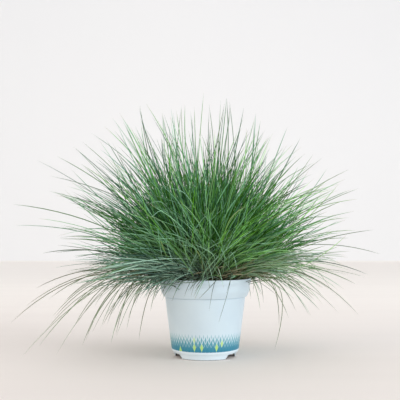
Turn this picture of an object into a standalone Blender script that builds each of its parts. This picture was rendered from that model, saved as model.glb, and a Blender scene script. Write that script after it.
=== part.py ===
"""A clump of blue fescue in a white nursery pot. Metres, +Z up.

The origin is on the pot's axis, on the surface that the pot stands on. The front is towards -Y.
The plant's shoots stand in rings on the soil. Each shoot is one solid: a pale sheath that divides
into a few thin blades. The blades' tips lie on a dome, upright in the middle and hanging at the edge.
"""

import math
import random

import bmesh
import bpy
from mathutils import Vector

MM = 0.001
CLEARANCE = 0.3 * MM
UP = Vector((0.0, 0.0, 1.0))

# The pot
RIM_RADIUS = 60.0 * MM
COLLAR_RADIUS = 58.3 * MM
SHOULDER_RADIUS = 52.3 * MM
BASE_RADIUS = 44.0 * MM
FOOT_RADIUS = 39.5 * MM
POT_HEIGHT = 101.0 * MM
LIP_HEIGHT = 8.0 * MM
COLLAR_BOTTOM = 84.0 * MM
SHOULDER_HEIGHT = 76.0 * MM
BASE_HEIGHT = 11.0 * MM
WALL = 1.3 * MM
FLOOR_UNDERSIDE = 3.2 * MM
FLOOR_TOP = 4.8 * MM
FOOT_WIDTH = 2.4 * MM
POT_SIDES = 48

# The notches between the pot's feet, as angles from the front
NOTCH_HEIGHT = 6.0 * MM
NOTCH_INNER_RADIUS = 32.0 * MM
WIDE_FOOT_HALF_ANGLE = 56.0
SIDE_FOOT_HALF_ANGLE = 5.0
NOTCH_SIDES = 8

# The soil
SOIL_HEIGHT = 90.0 * MM
SOIL_MOUND = 5.0 * MM
SOIL_ROUGHNESS = 1.2 * MM
SOIL_SIDES = 24

# The plant
CROWN_RADIUS = 35.0 * MM
SPREAD_RADIUS = 245.0 * MM
PLANT_TOP = 347.0 * MM
WIDEST_HEIGHT = 150.0 * MM
SKIRT_DROP = 128.0 * MM
SKIRT_SQUARENESS = 0.35
SHEATH_LENGTH = 20.0 * MM
SHEATH_FOOT_RADIUS = 1.7 * MM
SHEATH_TOP_RADIUS = 2.5 * MM
SHEATH_DEPTH = 2.0 * MM
TUFT_FAN_RADIUS = 21.0 * MM
BLADES_IN_TUFT = 4
BLADE_STATIONS = 5
BLADE_WIDTH = 2.9 * MM
BLADE_KEEL = 1.7 * MM
TAPER_START = 3.0
TAPER_BLUNTNESS = 0.6
SHORTEST_BLADE = 0.74

# How steeply a shoot leaves the soil, for each degree that its tips lie down the dome
LEAN_SHARE = 0.55
STEEPEST_LEAN = 60.0
RISE_SHARE = 0.46
RISE_GAIN = 0.001

# How unevenly the shoots stand: their turn as a share of their spacing, their fall in degrees,
# and the shortest and longest reach of those that don't reach the dome
SWAY = 0.22
FALL = 4.0
SHORT_REACH = 0.90
LONG_REACH = 0.99
SOIL_GAP = 1.2 * MM

# For each ring from the middle outwards: its shoots, how far down the dome their tips lie,
# and by how much every second shoot's tips lie lower than the others', in degrees
RINGS = (
    (1, 3.0, 0.0),
    (5, 24.0, 6.0),
    (8, 44.0, 7.0),
    (11, 66.0, 8.0),
    (16, 89.0, 6.0),
    (16, 124.0, 34.0),
)

# The longest shoots stand in the widest ring, and they reach the dome itself. By their place in the ring,
# these are their turns from the front: the right one turns a little to the back, the left one to the front.
WIDEST_RING = 4
LONGEST = {0: 0.0, 4: 97.0, 8: 180.0, 12: 282.0}

# The hanging shoots of the last ring are shorter in front, where they would hide the pot:
# this many degrees to each side, and this share of their reach
SHORT_FRONT = 42.0
FRONT_SHARE = 0.58
SEED = 3


def clear_scene():
    for old in list(bpy.data.objects):
        bpy.data.objects.remove(old, do_unlink=True)


def plain_material(name, colour, roughness):
    """A dull finish with no metal in it."""
    material = bpy.data.materials.new(name)
    material.use_nodes = True
    shader = material.node_tree.nodes["Principled BSDF"]
    shader.inputs["Base Color"].default_value = (*colour, 1.0)
    shader.inputs["Roughness"].default_value = roughness
    shader.inputs["Metallic"].default_value = 0.0
    return material


def object_from(shape, name, material):
    """An object from a bmesh, in the scene's collection."""
    mesh = bpy.data.meshes.new(name)
    shape.to_mesh(mesh)
    shape.free()
    made = bpy.data.objects.new(name, mesh)
    bpy.context.scene.collection.objects.link(made)
    if material is not None:
        made.data.materials.append(material)
    return made


def arc(centre, radius, start, end, steps):
    """Points on a round stretch of a profile, as (distance from the axis, height)."""
    angles = [start + (end - start) * step / steps for step in range(steps + 1)]
    return [
        (centre[0] + radius * math.cos(math.radians(a)), centre[1] + radius * math.sin(math.radians(a)))
        for a in angles
    ]


def body_radius(height):
    """The pot body's outer radius at a height, on its straight taper."""
    share = (height - BASE_HEIGHT) / (SHOULDER_HEIGHT - BASE_HEIGHT)
    return BASE_RADIUS + (SHOULDER_RADIUS - BASE_RADIUS) * share


def pot_profile():
    """The pot's section: from the axis over the floor, up the inside, down the outside, to the axis."""
    step = COLLAR_RADIUS - SHOULDER_RADIUS
    inside = [
        (0.0, FLOOR_TOP),
        (FOOT_RADIUS - WALL, FLOOR_TOP),
        (BASE_RADIUS - WALL, BASE_HEIGHT + WALL / 2),
        (SHOULDER_RADIUS - WALL, SHOULDER_HEIGHT + WALL),
        (COLLAR_RADIUS - WALL, COLLAR_BOTTOM + WALL),
        (COLLAR_RADIUS - WALL, POT_HEIGHT - LIP_HEIGHT),
        (RIM_RADIUS - 1.6 * WALL, POT_HEIGHT - WALL / 2),
        (RIM_RADIUS - WALL, POT_HEIGHT),
    ]
    under_collar = arc((SHOULDER_RADIUS, COLLAR_BOTTOM), step, 0.0, -80.0, 3)
    foot_curve = arc((FOOT_RADIUS - WALL, BASE_HEIGHT), BASE_RADIUS - FOOT_RADIUS + WALL, 0.0, -60.0, 3)
    outside = [
        (RIM_RADIUS, POT_HEIGHT - WALL / 2),
        (RIM_RADIUS, POT_HEIGHT - LIP_HEIGHT / 2),
        (COLLAR_RADIUS, POT_HEIGHT - LIP_HEIGHT),
        *under_collar,
        (body_radius(SHOULDER_HEIGHT), SHOULDER_HEIGHT),
        *foot_curve,
        (FOOT_RADIUS, CLEARANCE),
        (FOOT_RADIUS - CLEARANCE, 0.0),
        (FOOT_RADIUS - FOOT_WIDTH, 0.0),
        (FOOT_RADIUS - FOOT_WIDTH - CLEARANCE, FLOOR_UNDERSIDE),
        (0.0, FLOOR_UNDERSIDE),
    ]
    return inside + outside


def turned(name, profile, sides, material):
    """An object turned round the upright axis from an open profile that starts and ends on it."""
    shape = bmesh.new()
    corners = [shape.verts.new((radius, 0.0, height)) for radius, height in profile]
    for lower, upper in zip(corners, corners[1:]):
        shape.edges.new((lower, upper))
    made = object_from(shape, name, material)
    screw = made.modifiers.new("Turn", "SCREW")
    screw.axis = "Z"
    screw.steps = sides
    screw.render_steps = sides
    screw.use_merge_vertices = True
    screw.merge_threshold = 0.00001
    screw.use_smooth_shade = True
    return made


def ring_point(angle, radius, height):
    """A point at an angle from the front, turning towards +X."""
    turn = math.radians(angle)
    return Vector((radius * math.sin(turn), -radius * math.cos(turn), height))


def notch_cutter(name, start, end):
    """A curved block that cuts one notch between two feet, through the foot ring and the floor's edge."""
    shape = bmesh.new()
    rows = []
    for radius in (NOTCH_INNER_RADIUS, BASE_RADIUS + WALL):
        for height in (-NOTCH_HEIGHT, NOTCH_HEIGHT):
            angles = [start + (end - start) * step / NOTCH_SIDES for step in range(NOTCH_SIDES + 1)]
            rows.append([shape.verts.new(ring_point(angle, radius, height)) for angle in angles])
    inner_low, inner_high, outer_low, outer_high = rows
    loops = (inner_low, inner_high, outer_high, outer_low)
    for row, following in zip(loops, loops[1:] + loops[:1]):
        for step in range(NOTCH_SIDES):
            shape.faces.new((row[step], row[step + 1], following[step + 1], following[step]))
    for step in (0, NOTCH_SIDES):
        shape.faces.new([row[step] for row in loops])
    bmesh.ops.recalc_face_normals(shape, faces=shape.faces[:])
    cutter = object_from(shape, name, None)
    cutter.hide_render = True
    cutter.display_type = "WIRE"
    return cutter


def make_pot():
    """The moulded pot: a wide foot in front and behind, a narrow one at each side, and notches between them."""
    pot = turned("pot", pot_profile(), POT_SIDES, plain_material("pot_plastic", (0.72, 0.78, 0.81), 0.42))
    sides = (
        (WIDE_FOOT_HALF_ANGLE, 90.0 - SIDE_FOOT_HALF_ANGLE),
        (90.0 + SIDE_FOOT_HALF_ANGLE, 180.0 - WIDE_FOOT_HALF_ANGLE),
    )
    for half_turn in (0.0, 180.0):
        for number, (start, end) in enumerate(sides, start=1):
            side = "right" if half_turn == 0.0 else "left"
            cutter = notch_cutter(f"notch_cutter_{side}_{number}", start + half_turn, end + half_turn)
            cut = pot.modifiers.new(f"Notch {side} {number}", "BOOLEAN")
            cut.operation = "DIFFERENCE"
            cut.object = cutter
    return pot


def soil_surface(radius, angle):
    """The soil's height: a low mound in the middle, with soft lumps that fade out at the wall."""
    share = radius / (COLLAR_RADIUS - WALL)
    mound = SOIL_MOUND * (1.0 - share**2)
    lumps = math.sin(3.0 * angle + 9.0 * share) + math.sin(5.0 * angle - 14.0 * share)
    return SOIL_HEIGHT + mound + SOIL_ROUGHNESS / 2 * lumps * math.sin(math.pi * share)


def make_soil():
    """The plug of soil that fills the pot, clear of its wall and floor."""
    gap = WALL + CLEARANCE
    side = [
        (FOOT_RADIUS - gap - CLEARANCE, FLOOR_TOP + CLEARANCE),
        (BASE_RADIUS - gap, BASE_HEIGHT + WALL),
        (SHOULDER_RADIUS - gap, SHOULDER_HEIGHT + WALL),
        (COLLAR_RADIUS - gap, COLLAR_BOTTOM + WALL + CLEARANCE),
    ]
    top_radius = COLLAR_RADIUS - gap
    shape = bmesh.new()
    angles = [math.tau * number / SOIL_SIDES for number in range(SOIL_SIDES)]

    def ring(radius, height_at):
        return [
            shape.verts.new((radius * math.cos(a), radius * math.sin(a), height_at(a))) for a in angles
        ]

    rings = [ring(radius, lambda a, z=height: z) for radius, height in side]
    for share in (1.0, 0.75, 0.5, 0.25):
        radius = top_radius * share
        rings.append(ring(radius, lambda a, r=radius: soil_surface(r, a)))
    bottom = shape.verts.new((0.0, 0.0, FLOOR_TOP + CLEARANCE))
    peak = shape.verts.new((0.0, 0.0, soil_surface(0.0, 0.0)))
    for lower, upper in zip(rings, rings[1:]):
        for number in range(SOIL_SIDES):
            following = (number + 1) % SOIL_SIDES
            shape.faces.new((lower[number], lower[following], upper[following], upper[number]))
    for number in range(SOIL_SIDES):
        following = (number + 1) % SOIL_SIDES
        shape.faces.new((rings[0][following], rings[0][number], bottom))
        shape.faces.new((rings[-1][number], rings[-1][following], peak))
    bmesh.ops.recalc_face_normals(shape, faces=shape.faces[:])
    return object_from(shape, "soil", plain_material("soil", (0.035, 0.022, 0.014), 0.95))


def dome_point(turn, down, reach):
    """Where a shoot's tips lie: on a dome, round above its widest level and squarer below it."""
    across = math.sin(math.radians(down))
    along = math.cos(math.radians(down))
    if along > 0.0:
        radius = SPREAD_RADIUS * across
        height = WIDEST_HEIGHT + (PLANT_TOP - WIDEST_HEIGHT) * along
    else:
        radius = SPREAD_RADIUS * across**SKIRT_SQUARENESS
        height = WIDEST_HEIGHT - SKIRT_DROP * (-along) ** SKIRT_SQUARENESS
    heart = UP * (SOIL_HEIGHT + SHEATH_LENGTH)
    return heart + (ring_point(turn, radius, height) - heart) * reach


def arching(root, rise, tip, share):
    """A point along a blade that leaves its root towards rise and ends at its tip."""
    left = 1.0 - share
    return root * left**2 + rise * 2.0 * share * left + tip * share**2


def add_blade(shape, base, root, rise, tip, keel):
    """One blade as a three-sided, tapering bar, grown from the triangle that it has on its sheath."""
    ring = base
    for station in range(1, BLADE_STATIONS):
        share = (station / BLADE_STATIONS) ** 0.9
        here = arching(root, rise, tip, share)
        run = (arching(root, rise, tip, share + 0.02) - here).normalized()
        keel = (keel - run * keel.dot(run)).normalized()
        side = run.cross(keel)
        width = BLADE_WIDTH * (1.0 - share**TAPER_START) ** TAPER_BLUNTNESS
        depth = width * BLADE_KEEL / BLADE_WIDTH
        corners = (
            here - keel * depth / 2,
            here + keel * depth / 2 + side * width / 2,
            here + keel * depth / 2 - side * width / 2,
        )
        fresh = [shape.verts.new(corner) for corner in corners]
        for number in range(3):
            following = (number + 1) % 3
            shape.faces.new((ring[number], ring[following], fresh[following], fresh[number]))
        ring = fresh
    point = shape.verts.new(tip)
    for number in range(3):
        shape.faces.new((ring[number], ring[(number + 1) % 3], point))


def make_tuft(name, foot, turn, down, reach, material, chance):
    """One shoot: a sheath on the soil that divides into blades, which fan out about one arching path."""
    outward = ring_point(turn, 1.0, 0.0)
    tip = dome_point(turn, down, reach)
    lean = math.radians(min(LEAN_SHARE * down, STEEPEST_LEAN))
    start = outward * math.sin(lean) + UP * math.cos(lean)
    chord = tip - foot
    top = foot + start * SHEATH_LENGTH
    rise = foot + start * chord.length * (RISE_SHARE + RISE_GAIN * down)
    side = UP.cross(outward)
    keel = side.cross(start)
    shape = bmesh.new()
    angles = [math.tau * (number + 0.5) / BLADES_IN_TUFT for number in range(BLADES_IN_TUFT)]
    low = [
        shape.verts.new(foot + (side * math.cos(a) + outward * math.sin(a)) * SHEATH_FOOT_RADIUS)
        for a in angles
    ]
    high = [
        shape.verts.new(top + (side * math.cos(a) + keel * math.sin(a)) * SHEATH_TOP_RADIUS) for a in angles
    ]
    fork = shape.verts.new(top - start * SHEATH_DEPTH)
    shape.faces.new(low)
    for number in range(BLADES_IN_TUFT):
        following = (number + 1) % BLADES_IN_TUFT
        shape.faces.new((low[number], low[following], high[following], high[number]))
        fan = angles[number] + math.pi / BLADES_IN_TUFT
        offset = side * math.cos(fan) + keel * math.sin(fan)
        tip_offset = side * math.cos(fan) + side.cross(chord.normalized()) * math.sin(fan)
        end = tip
        if number > 0:
            shortfall = chance.uniform(0.0, 1.0 - SHORTEST_BLADE)
            end = tip + tip_offset * TUFT_FAN_RADIUS - chord * shortfall
        root = top + offset * SHEATH_TOP_RADIUS / 2
        bend = rise + offset * TUFT_FAN_RADIUS / 2
        add_blade(shape, [fork, high[number], high[following]], root, bend, end, offset)
    bmesh.ops.recalc_face_normals(shape, faces=shape.faces[:])
    return object_from(shape, name, material)


def make_tufts():
    """The shoots, ring by ring, each a little out of its even place but for the longest ones."""
    chance = random.Random(SEED)
    material = plain_material("blade", (0.085, 0.19, 0.105), 0.5)
    number = 0
    for ring, (count, down, drop) in enumerate(RINGS):
        radius = CROWN_RADIUS * ring / (len(RINGS) - 1)
        spacing = 360.0 / count
        offset = spacing / 2 if ring > WIDEST_RING else 0.0
        for place in range(count):
            number += 1
            turn = spacing * place + offset + chance.uniform(-SWAY, SWAY) * spacing
            fall = down + drop * (place % 2) + chance.uniform(-FALL, FALL)
            reach = 1.0 if ring == 0 else chance.uniform(SHORT_REACH, LONG_REACH)
            if ring == WIDEST_RING and place in LONGEST:
                turn, fall, reach = LONGEST[place], down, 1.0
            if ring > WIDEST_RING and math.cos(math.radians(turn)) > math.cos(math.radians(SHORT_FRONT)):
                reach *= FRONT_SHARE
            foot = ring_point(turn, radius, 0.0)
            foot.z = soil_surface(radius, math.atan2(foot.y, foot.x)) + SOIL_GAP
            make_tuft(f"tuft_{number:02d}", foot, turn, fall, reach, material, chance)


clear_scene()
make_pot()
make_soil()
make_tufts()
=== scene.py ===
# %% [markdown]
# # A potted clump of blue fescue
# Blue fescue is a small ornamental grass. Its blades are rolled in until they look like needles, and
# thousands of them stand out of one crown like the quills of a hedgehog. This lesson dresses a plain
# model of such a clump: the pot gets its moulded edges and its printed band, the soil its crumbs, and each
# coarse tuft of the plain model makes room for the fine blades that really grow there.
#
# The plain model comes first, because every later piece takes its place and its size from it.

import math
import random

import bmesh
import bpy
import numpy as np
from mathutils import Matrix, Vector, noise


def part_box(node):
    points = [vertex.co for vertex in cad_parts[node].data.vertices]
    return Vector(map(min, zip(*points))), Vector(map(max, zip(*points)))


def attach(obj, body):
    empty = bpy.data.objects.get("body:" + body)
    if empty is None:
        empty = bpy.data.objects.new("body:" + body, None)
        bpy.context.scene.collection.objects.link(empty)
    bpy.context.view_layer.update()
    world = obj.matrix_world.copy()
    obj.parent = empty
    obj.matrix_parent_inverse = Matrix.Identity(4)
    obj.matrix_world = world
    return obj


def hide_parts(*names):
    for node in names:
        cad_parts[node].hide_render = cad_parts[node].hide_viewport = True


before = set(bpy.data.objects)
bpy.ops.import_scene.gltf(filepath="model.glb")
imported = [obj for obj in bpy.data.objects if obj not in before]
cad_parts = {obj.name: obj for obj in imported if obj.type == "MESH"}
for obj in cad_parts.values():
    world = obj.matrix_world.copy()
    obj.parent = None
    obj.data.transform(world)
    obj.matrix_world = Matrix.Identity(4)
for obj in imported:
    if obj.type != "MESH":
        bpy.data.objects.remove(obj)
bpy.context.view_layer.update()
MM = 0.001
UP = np.array((0.0, 0.0, 1.0))
tuft_names = sorted(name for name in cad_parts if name.startswith("tuft_"))
print(len(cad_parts), "nodes,", len(tuft_names), "of them tufts")

# %% [markdown]
# ## The camera
# The clump was looked at from the front, a little above the height of a hand, so the eye sees just over
# the pot's rim. The lens is slightly long, and the camera is tipped up a little to centre the plant.

# %% Camera
CAMERA_DISTANCE = 900.0 * MM
CAMERA_HEIGHT = 154.5 * MM
CAMERA_SHIFT = -6.8 * MM
CAMERA_TIPPED_UP = math.radians(3.1)
LENS = 61.4
SENSOR_WIDTH = 36.0

camera = bpy.data.objects.new("camera", bpy.data.cameras.new("camera"))
camera.data.lens = LENS
camera.data.sensor_width = SENSOR_WIDTH
camera.location = (CAMERA_SHIFT, -CAMERA_DISTANCE, CAMERA_HEIGHT)
camera.rotation_euler = (math.pi / 2 + CAMERA_TIPPED_UP, 0.0, 0.0)
bpy.context.scene.collection.objects.link(camera)
bpy.context.scene.camera = camera
print("camera", [round(c, 3) for c in camera.location])

# %% [markdown]
# ## Helpers for finishes and meshes
# Every finish below is a tree of shader nodes, and every shape is a list of points and faces. A few short
# functions place a node, fill its sockets and give back what it puts out, so that a finish reads like a
# recipe: mix this colour with that one, by this much.

# %% Helpers
def new_material(name):
    """A material, its node tree, its Principled BSDF, and the place on the object in metres."""
    material = bpy.data.materials.new(name)
    material.use_nodes = True
    tree = material.node_tree
    place = node(tree, "ShaderNodeTexCoord", -1200, 0).outputs["Object"]
    return material, tree, tree.nodes["Principled BSDF"], place


def node(tree, kind, x=0, y=0, **settings):
    """One shader node, with its settings and its place in the node editor."""
    made = tree.nodes.new(kind)
    made.location = (x, y)
    for name, value in settings.items():
        setattr(made, name, value)
    return made


def feed(tree, socket, value):
    """Puts a number, a colour or another node's output into a socket."""
    if isinstance(value, bpy.types.NodeSocket):
        tree.links.new(value, socket)
    elif isinstance(value, (tuple, list)) and len(value) == 3 and socket.type == "RGBA":
        socket.default_value = (*value, 1.0)
    else:
        socket.default_value = value


def maths(tree, operation, *values, clamp=False):
    """A Math node with its inputs filled in, as an output socket."""
    made = node(tree, "ShaderNodeMath", operation=operation, use_clamp=clamp)
    for socket, value in zip(made.inputs, values):
        feed(tree, socket, value)
    return made.outputs[0]


def times(tree, first, *others):
    """The product of two or more values, as an output socket."""
    for other in others:
        first = maths(tree, "MULTIPLY", first, other)
    return first


def mixed(tree, share, first, second):
    """A colour between two others, as an output socket."""
    made = node(tree, "ShaderNodeMix", data_type="RGBA")
    feed(tree, made.inputs["Factor"], share)
    feed(tree, made.inputs[6], first)
    feed(tree, made.inputs[7], second)
    return made.outputs[2]


def mapped(tree, value, low, high, to_low=0.0, to_high=1.0, smooth=True):
    """A value brought from one range into another and held inside it."""
    made = node(tree, "ShaderNodeMapRange", interpolation_type="SMOOTHSTEP" if smooth else "LINEAR")
    for socket, number in zip(made.inputs, (value, low, high, to_low, to_high)):
        feed(tree, socket, number)
    return made.outputs[0]


def split(tree, place):
    """The three numbers of a place, as output sockets."""
    parts = node(tree, "ShaderNodeSeparateXYZ")
    tree.links.new(place, parts.inputs[0])
    return parts.outputs


def out_from_axis(tree, place):
    """How far a place lies from the pot's upright axis, as an output socket."""
    flat = node(tree, "ShaderNodeVectorMath", operation="MULTIPLY")
    tree.links.new(place, flat.inputs[0])
    flat.inputs[1].default_value = (1.0, 1.0, 0.0)
    length = node(tree, "ShaderNodeVectorMath", operation="LENGTH")
    tree.links.new(flat.outputs["Vector"], length.inputs[0])
    return length.outputs["Value"]


def sine(angle):
    """The sine of an angle in degrees."""
    return math.sin(math.radians(angle))


def cosine(angle):
    """The cosine of an angle in degrees."""
    return math.cos(math.radians(angle))


def linked(made):
    """Puts an object in the scene and gives it back."""
    bpy.context.scene.collection.objects.link(made)
    return made


def mesh_object(name, points, faces):
    """A smooth object in the scene from points and faces."""
    mesh = bpy.data.meshes.new(name)
    mesh.from_pydata([tuple(p) for p in points], [], [tuple(int(i) for i in f) for f in faces])
    mesh.validate()
    mesh.update()
    mesh.shade_smooth()
    return linked(bpy.data.objects.new(name, mesh))


def bmesh_object(name, shape):
    """An object in the scene from a bmesh, which is used up."""
    mesh = bpy.data.meshes.new(name)
    shape.to_mesh(mesh)
    shape.free()
    return linked(bpy.data.objects.new(name, mesh))


def set_map(made, places):
    """Gives a mesh its map: one place for each corner of each face."""
    layer = made.data.uv_layers.new(name="OFBake")
    layer.data.foreach_set("uv", np.array(places, np.float32).ravel())


print("helpers ready")

# %% [markdown]
# ## Two effects that several finishes share
# Real surfaces are never even. *Mottling* gives a soft uneven value that a finish uses for its colour or
# its gloss, and *soil dust and shade* says how much of the pot's soil clings to a place, more the nearer it
# lies to a given level; the blades' finish also uses it for painted shade low in the crown. Each is a node
# group, built once and used with each finish's own values.

# %% Node groups
# Noise keeps mostly inside this range
NOISE_RANGE = (0.32, 0.68)
DUST_SPECKS = 420.0
DUST_FULL = 0.75
DUST_UNEVEN = 2.4


def new_group(name, inputs, output):
    """An empty node group with float or vector inputs and one float output."""
    group = bpy.data.node_groups.new(name, "ShaderNodeTree")
    for socket, kind, value in inputs:
        made = group.interface.new_socket(socket, in_out="INPUT", socket_type=kind)
        if value is not None:
            made.default_value = value
    group.interface.new_socket(output, in_out="OUTPUT", socket_type="NodeSocketFloat")
    return group, node(group, "NodeGroupInput", -600), node(group, "NodeGroupOutput", 600)


def make_mottling():
    """Soft patches between two values, at a scale given in patches a metre."""
    inputs = (
        ("Place", "NodeSocketVector", None),
        ("Scale", "NodeSocketFloat", 100.0),
        ("Detail", "NodeSocketFloat", 3.0),
        ("Low", "NodeSocketFloat", 0.0),
        ("High", "NodeSocketFloat", 1.0),
    )
    group, given, put_out = new_group("Mottling", inputs, "Value")
    patches = node(group, "ShaderNodeTexNoise")
    for here, there in (("Place", "Vector"), ("Scale", "Scale"), ("Detail", "Detail")):
        group.links.new(given.outputs[here], patches.inputs[there])
    low, high = (given.outputs["Low"], given.outputs["High"])
    spread = mapped(group, patches.outputs["Fac"], *NOISE_RANGE, low, high, smooth=False)
    group.links.new(spread, put_out.inputs["Value"])
    return group


def make_soil_dust_and_shade():
    """How much soil clings to a place: all of it at a level, none a given reach above it. It also serves for
    painted shade.
    """
    inputs = (
        ("Place", "NodeSocketVector", None),
        ("Level", "NodeSocketFloat", 0.09),
        ("Reach", "NodeSocketFloat", 0.008),
    )
    group, given, put_out = new_group("Soil dust and shade", inputs, "Amount")
    _, _, height = split(group, given.outputs["Place"])
    above = maths(group, "SUBTRACT", height, given.outputs["Level"])
    share = maths(group, "DIVIDE", above, given.outputs["Reach"])
    specks = node(group, "ShaderNodeTexNoise")
    group.links.new(given.outputs["Place"], specks.inputs["Vector"])
    specks.inputs["Scale"].default_value = DUST_SPECKS
    specks.inputs["Detail"].default_value = 5.0
    rough = maths(group, "MULTIPLY_ADD", specks.outputs["Fac"], DUST_UNEVEN, -DUST_UNEVEN / 2)
    amount = maths(group, "SUBTRACT", maths(group, "ADD", DUST_FULL, rough), share, clamp=True)
    group.links.new(amount, put_out.inputs["Amount"])
    return group


MOTTLING = make_mottling()
SOIL_DUST_AND_SHADE = make_soil_dust_and_shade()


def placed_group(tree, group, **values):
    """A node group in a material with its inputs filled in, as its output socket."""
    made = node(tree, "ShaderNodeGroup", node_tree=group)
    for name, value in values.items():
        feed(tree, made.inputs[name], value)
    return made.outputs[0]


def mottling(tree, place, scale, low=0.0, high=1.0, detail=3.0):
    """The mottling group in a material."""
    return placed_group(tree, MOTTLING, Place=place, Scale=scale, Detail=detail, Low=low, High=high)


def soil_dust_and_shade(tree, place, level, reach):
    """The soil dust and shade group in a material."""
    return placed_group(tree, SOIL_DUST_AND_SHADE, Place=place, Level=level, Reach=reach)


def bumped(tree, shader, height, strength, distance):
    """Roughens a shader's surface by a height."""
    bump = node(tree, "ShaderNodeBump")
    bump.inputs["Strength"].default_value = strength
    bump.inputs["Distance"].default_value = distance
    feed(tree, bump.inputs["Height"], height)
    tree.links.new(bump.outputs["Normal"], shader.inputs["Normal"])


print("groups", MOTTLING.name, "and", SOIL_DUST_AND_SHADE.name)

# %% [markdown]
# ## The table and the wall
# The pot stands on a pale surface that runs back to a pale wall. Both are one swept sheet: a straight
# floor, a rounded corner and a straight wall. The table is painted paler towards the back and given a
# faint glow there, and the wall glows a little too: all painted light. Faint streaks run across the table.

# %% Table and wall
FLOOR_BACK = 3.30
CORNER_RADIUS = 0.015
CORNER_STEPS = 12
STAGE_HALF_WIDTH = 7.0
STAGE_FRONT = -5.0
WALL_TOP = 4.5
FLOOR_COLOUR = (0.82, 0.76, 0.73)
# Painted light: the paler colour the table takes on towards the back, the depths in metres over which it
# does so, and the faint glow of the far table
FLOOR_FAR_PAINTED_LIGHT_COLOUR = (0.94, 0.885, 0.84)
FLOOR_PAINTED_LIGHT_DEPTHS = (-0.25, 1.2)
FLOOR_FAR_PAINTED_GLOW = 0.05
WALL_COLOUR = (0.875, 0.88, 0.895)
# Painted light: the wall's faint glow at its foot and a metre up
WALL_PAINTED_GLOW = (0.055, 0.065)
STREAKS_STRETCHED = (0.25, 3.0, 1.0)
STREAK_SCALE = 5.0
STREAK_STRENGTH = 0.08
STREAK_DARKENS = 0.8


def stage_outline():
    """The sheet's section from front to back and up, as (y, z)."""
    outline = [(STAGE_FRONT, 0.0)]
    for step in range(CORNER_STEPS + 1):
        bend = 90.0 * step / CORNER_STEPS
        back = FLOOR_BACK + CORNER_RADIUS * sine(bend)
        outline.append((back, CORNER_RADIUS * (1.0 - cosine(bend))))
    outline.append((FLOOR_BACK + CORNER_RADIUS, WALL_TOP))
    return outline


def stage_material():
    """Pale table and pale wall: the same surface, told apart by height, with painted light at the back and
    on the wall.
    """
    material, tree, shader, place = new_material("table_and_wall")
    _, back, height = split(tree, place)
    risen = mapped(tree, height, 0.0, CORNER_RADIUS)
    # Painted light: the table is painted paler and made to glow a little towards the back, and the wall
    # glows
    far = mapped(tree, back, *FLOOR_PAINTED_LIGHT_DEPTHS)
    painted_wall_glow = times(tree, mapped(tree, height, 0.0, 1.0, *WALL_PAINTED_GLOW), risen)
    painted_glow = maths(tree, "MAXIMUM", times(tree, far, FLOOR_FAR_PAINTED_GLOW), painted_wall_glow)
    tree.links.new(painted_glow, shader.inputs["Emission Strength"])
    shader.inputs["Emission Color"].default_value = (1.0, 1.0, 1.0, 1.0)
    stretch = node(tree, "ShaderNodeMapping")
    stretch.inputs["Scale"].default_value = STREAKS_STRETCHED
    tree.links.new(place, stretch.inputs["Vector"])
    streaks = mottling(tree, stretch.outputs[0], STREAK_SCALE)
    # The table's colour, painted paler towards the back as painted light
    top = mixed(tree, far, FLOOR_COLOUR, FLOOR_FAR_PAINTED_LIGHT_COLOUR)
    streak_colour = tuple(c * STREAK_DARKENS for c in FLOOR_COLOUR)
    grained = mixed(tree, times(tree, streaks, STREAK_STRENGTH), top, streak_colour)
    tree.links.new(mixed(tree, risen, grained, WALL_COLOUR), shader.inputs["Base Color"])
    shader.inputs["Roughness"].default_value = 0.9
    shader.inputs["Specular IOR Level"].default_value = 0.2
    return material


def make_stage():
    """The table's top and the wall behind it as one sheet."""
    outline = stage_outline()
    points = [(side * STAGE_HALF_WIDTH, y, z) for y, z in outline for side in (-1, 1)]
    faces = [(2 * i, 2 * i + 1, 2 * i + 3, 2 * i + 2) for i in range(len(outline) - 1)]
    stage = mesh_object("table_and_wall", points, faces)
    stage.data.materials.append(stage_material())


make_stage()
print("table runs back", FLOOR_BACK, "m")

# %% [markdown]
# ## The light
# A bright white room does most of the lighting. A large cool lamp at the right gives the pot its lit side
# and the blades their shaded sides. A weaker warm one at the left keeps the shadows light, and two faint
# ones fill in from in front and above.

# %% Light
ROOM_COLOUR = (0.96, 0.98, 1.0)
ROOM_STRENGTH = 0.78
PLANT_MIDDLE = Vector((0.0, 0.0, 0.15))
# Each lamp: its name, its place and size in metres, its power in watts and its colour
LAMPS = (
    ("lamp_right", (2.2, -1.1, 0.6), 1.3, 34.0, (0.95, 0.985, 1.0)),
    ("lamp_left", (-2.2, -1.0, 0.4), 1.5, 25.0, (1.0, 0.80, 0.58)),
    ("lamp_front", (0.0, -2.8, 0.7), 2.0, 13.0, (1.0, 0.98, 0.95)),
    ("lamp_above", (0.2, -0.1, 2.2), 1.6, 4.0, (1.0, 1.0, 1.0)),
)


def soft_lamp(name, place, size, power, colour):
    """A square area lamp that faces the middle of the plant."""
    lamp = bpy.data.lights.new(name, "AREA")
    lamp.size = size
    lamp.energy = power
    lamp.color = colour
    made = linked(bpy.data.objects.new(name, lamp))
    made.location = place
    made.rotation_euler = (PLANT_MIDDLE - Vector(place)).to_track_quat("-Z", "Y").to_euler()


world = bpy.data.worlds.new("white room")
bpy.context.scene.world = world
world.use_nodes = True
world.node_tree.nodes["Background"].inputs["Color"].default_value = (*ROOM_COLOUR, 1.0)
world.node_tree.nodes["Background"].inputs["Strength"].default_value = ROOM_STRENGTH
for lamp_settings in LAMPS:
    soft_lamp(*lamp_settings)
bpy.context.scene.view_settings.view_transform = "Standard"
print(len(LAMPS), "lamps set")

# %% [markdown]
# ## The pot's shape
# The pot is one thin shell of injection-moulded polypropylene. It was pressed between two halves of a
# steel mould, so it is a body of revolution: a tapered wall, a wider collar that lets a stack of pots come
# apart again, a rounded lip and a foot ring. Turning a profile round the axis is the natural way to make
# it. Small round edges catch the light as the real ones do. The ring stands on a narrow rib, a little
# behind its face, and so a fine dark line runs along the table under it.

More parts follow.
